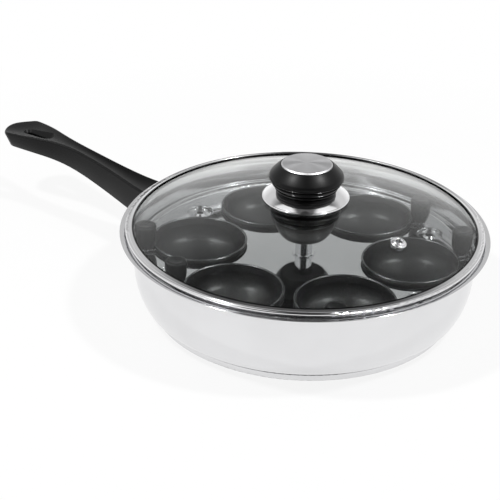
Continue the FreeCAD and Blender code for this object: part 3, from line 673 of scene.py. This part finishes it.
class POACHER_OT_lid(bpy.types.Operator):
    """Glazes the lid and finishes its rim, vent and knob"""

    bl_idname = "poacher.lid"
    bl_label = "Finish Lid"

    def execute(self, context):
        steel = context.scene.poacher_steel
        dark = context.scene.poacher_dark
        dress("lid_glass", clear_glass("lid_glass_clear", dark.glass_tint, dark.glass_bend))
        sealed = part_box("lid_glass")[1].x - steel.dark_rim_band_margin

        # A dark band painted along the rim's inner edge, beside the glass
        def at_dark_rim_band(tree):
            return within(tree, dark_rim_band_fade, ((axis_distance(tree), sealed, -1),))

        finish = (steel.rim_roughness, steel.spin_pitch, mirror_polish_depth)
        dress("lid_rim", spun_steel("polished_rim", steel.rim_colour, *finish, steel.line_colour, at_dark_rim_band))
        dress("lid_knob_bezel", spun_steel("polished_saucer", steel.saucer_colour, *finish))
        dress("vent_eyelet", plain_metal("vent_metal", steel.rim_colour, steel.vent_roughness))
        dress("lid_knob", moulded_black("lid_knob_black", dark.black_colour, dark.black_roughness))
        finish = (steel.cap_colour, steel.cap_roughness, steel.spin_pitch, satin_polish_depth)
        satin = spun_steel("satin_cap", *finish)
        combed_round(satin, steel.cap_comb)
        dress("lid_knob_cap", satin)
        dress("lid_knob_insert", plain_metal("lid_insert_brass", dark.brass_colour, dark.brass_roughness))
        dress("lid_gasket", soft_silicone("gasket_silicone", dark.seal_colour))
        small = plain_metal("lid_screw_metal", steel.screw_colour, steel.screw_roughness)
        dress("lid_washer", small)
        dress("lid_screw", small)
        return {"FINISHED"}


class POACHER_OT_stage(bpy.types.Operator):
    """Sets the white floor, the studio light and the camera"""

    bl_idname = "poacher.stage"
    bl_label = "Set Stage"

    def execute(self, context):
        stage = context.scene.poacher_stage
        self.floor(stage)
        self.world(context.scene, stage)
        self.key("key_left", stage, -1)
        self.key("key_right", stage, 1)
        self.camera(context.scene, stage)
        context.scene.view_settings.view_transform = "Standard"
        return {"FINISHED"}

    def floor(self, stage):
        """Pale floor that reads white where nothing shades it."""
        half = stage.floor_size / 2
        mesh = bpy.data.meshes.new("floor")
        corners = [(-half, -half, 0), (half, -half, 0), (half, half, 0), (-half, half, 0)]
        mesh.from_pydata(corners, [], [(0, 1, 2, 3)])
        floor = bpy.data.objects.new("floor", mesh)
        floor.location.z = -floor_drop
        bpy.context.scene.collection.objects.link(floor)
        material, tree, shader = new_finish("white_floor")
        shader.inputs["Roughness"].default_value = 0.9
        shader.inputs["Specular IOR Level"].default_value = 0.0
        grain = noise(tree, places(tree), floor_grain)
        tree.links.new(tinted(tree, grain, stage.floor_colour, 0.99, 1.01), shader.inputs["Base Color"])
        white = add(tree, "ShaderNodeEmission", Strength=1.0)
        share = add(tree, "ShaderNodeMapRange", interpolation_type="SMOOTHSTEP")
        share.inputs["From Min"].default_value = stage.floor_reach
        share.inputs["From Max"].default_value = stage.floor_reach / 2
        share.inputs["To Max"].default_value = stage.floor_shadow
        tree.links.new(axis_distance(tree), share.inputs["Value"])
        own = add(tree, "ShaderNodeMixShader")
        tree.links.new(share.outputs["Result"], own.inputs["Fac"])
        tree.links.new(white.outputs[0], own.inputs[1])
        tree.links.new(shader.outputs["BSDF"], own.inputs[2])
        pick = add(tree, "ShaderNodeMixShader")
        tree.links.new(seen_directly(tree), pick.inputs["Fac"])
        tree.links.new(shader.outputs["BSDF"], pick.inputs[1])
        tree.links.new(own.outputs[0], pick.inputs[2])
        output = next(node for node in tree.nodes if node.type == "OUTPUT_MATERIAL")
        tree.links.new(pick.outputs[0], output.inputs["Surface"])
        mesh.materials.append(material)

    def world(self, scene, stage):
        """Even light from all round, which metal and glass see as a white tent with two panels."""
        world = bpy.data.worlds.new("studio")
        scene.world = world
        world.use_nodes = True
        tree = world.node_tree
        tree.nodes.clear()
        output = tree.nodes.new("ShaderNodeOutputWorld")
        light = add(tree, "ShaderNodeBackground", Strength=stage.world_light, Color=(*grey(1), 1))
        tent = add(tree, "ShaderNodeBackground", Strength=1.0)
        tree.links.new(self.tent(tree, stage), tent.inputs["Color"])
        pick = add(tree, "ShaderNodeMixShader")
        tree.links.new(seen_directly(tree), pick.inputs["Fac"])
        tree.links.new(light.outputs[0], pick.inputs[1])
        tree.links.new(tent.outputs[0], pick.inputs[2])
        tree.links.new(pick.outputs[0], output.inputs["Surface"])

    def tent(self, tree, stage):
        """Colours of the studio: a white horizon, grey walls, an open front and two panels overhead."""
        way = add(tree, "ShaderNodeTexCoord").outputs["Generated"]
        split = add(tree, "ShaderNodeSeparateXYZ")
        tree.links.new(way, split.inputs[0])
        ramp = add(tree, "ShaderNodeValToRGB")
        ends = ramp.color_ramp.elements
        ends[0].position, ends[1].position = horizon_top_share, wall_low_share
        ends[0].color = (*grey(1), 1)
        ends[1].color = (*grey(stage.wall), 1)
        ends.new(wall_high_share).color = (*grey(stage.wall), 1)
        ends.new(ceiling_low_share).color = (*grey(stage.ceiling), 1)
        tree.links.new(split.outputs["Z"], ramp.inputs["Fac"])
        opened = blended(tree, self.opening(tree, way, stage), ramp.outputs["Color"], grey(stage.front))
        return blended(tree, self.panels(tree, way, stage), opened, grey(stage.panel_light))

    def opening(self, tree, way, stage):
        """One where a way from the pan leads out of the studio's open side."""
        across, front = studio_axes(stage)
        aside = angle_between(tree, way, across, front)
        rise = angle_between(tree, way, Vector((0, 0, 1)), front)
        return within(tree, stage.panel_fade, (
            (size_of(tree, aside), stage.front_width, -1), (rise, stage.panel_fade, 1)))

    def panels(self, tree, way, stage):
        """One where a way from the pan meets a panel, fading to zero at its edges."""
        across, front = studio_axes(stage)
        aside = size_of(tree, angle_between(tree, way, across, Vector((0, 0, 1))))
        ahead = angle_between(tree, way, front, Vector((0, 0, 1)))
        return within(tree, stage.panel_fade, (
            (aside, stage.panel_inner, 1), (aside, stage.panel_outer, -1),
            (ahead, -stage.panel_back, 1), (ahead, stage.panel_front, -1)))

    def key(self, name, stage, side):
        """A small round softbox that hangs to one side overhead, led towards the front."""
        data = bpy.data.lights.new(name, "AREA")
        data.energy = stage.key_power
        data.shape = "DISK"
        data.size = stage.key_size
        across, front = studio_axes(stage)
        away = Vector((0, 0, 1)) + front * math.tan(stage.key_lead)
        away += across * side * math.tan(stage.key_lean)
        away.normalize()
        wide = front.cross(away).normalized()
        axes = Matrix((wide, away.cross(wide), away)).transposed()
        lamp = bpy.data.objects.new(name, data)
        lamp.matrix_world = Matrix.Translation(away * stage.key_distance) @ axes.to_4x4()
        bpy.context.scene.collection.objects.link(lamp)

    def camera(self, scene, stage):
        """The camera, from its turn, height, lean and aim."""
        data = bpy.data.cameras.new("photo_camera")
        data.lens = stage.camera_lens
        data.sensor_width = 36
        camera = bpy.data.objects.new("photo_camera", data)
        turn, rise = stage.camera_azimuth, stage.camera_elevation
        back = Vector((math.sin(turn) * math.cos(rise), -math.cos(turn) * math.cos(rise), math.sin(rise)))
        right = Vector((math.cos(turn), math.sin(turn), 0))
        above = back.cross(right)
        lean = Matrix.Rotation(stage.camera_roll, 3, back)
        aim = right * stage.camera_aim[0] + above * stage.camera_aim[1]
        axes = Matrix((lean @ right, lean @ above, back)).transposed()
        camera.matrix_world = Matrix.Translation(aim + back * stage.camera_distance) @ axes.to_4x4()
        scene.collection.objects.link(camera)
        scene.camera = camera


class POACHER_PT_panel(bpy.types.Panel):
    """Lists the pan's finishes and the stage"""

    bl_idname = "POACHER_PT_panel"
    bl_label = "Egg Poacher Pan"
    bl_space_type = "VIEW_3D"
    bl_region_type = "UI"
    bl_category = "Poacher"

    def draw(self, context):
        scene = context.scene
        for group in (scene.poacher_steel, scene.poacher_dark, scene.poacher_stage):
            box = self.layout.box()
            for key in group.bl_rna.properties.keys():
                if key not in ("rna_type", "name"):
                    box.prop(group, key)
        for operator in operators:
            self.layout.operator(operator.bl_idname)


groups = {"poacher_steel": PoacherSteel, "poacher_dark": PoacherDark, "poacher_stage": PoacherStage}
operators = (POACHER_OT_pan, POACHER_OT_handle, POACHER_OT_tray, POACHER_OT_cups, POACHER_OT_lid,
             POACHER_OT_stage)


def register():
    for cls in (*groups.values(), *operators, POACHER_PT_panel):
        bpy.utils.register_class(cls)
    for name, group in groups.items():
        setattr(bpy.types.Scene, name, bpy.props.PointerProperty(type=group))


def unregister():
    for name in groups:
        delattr(bpy.types.Scene, name)
    for cls in reversed((*groups.values(), *operators, POACHER_PT_panel)):
        bpy.utils.unregister_class(cls)


def main():
    register()
    bpy.ops.poacher.pan()
    bpy.ops.poacher.handle()
    bpy.ops.poacher.tray()
    bpy.ops.poacher.cups()
    bpy.ops.poacher.lid()
    bpy.ops.poacher.stage()


if __name__ == "__main__":
    main()
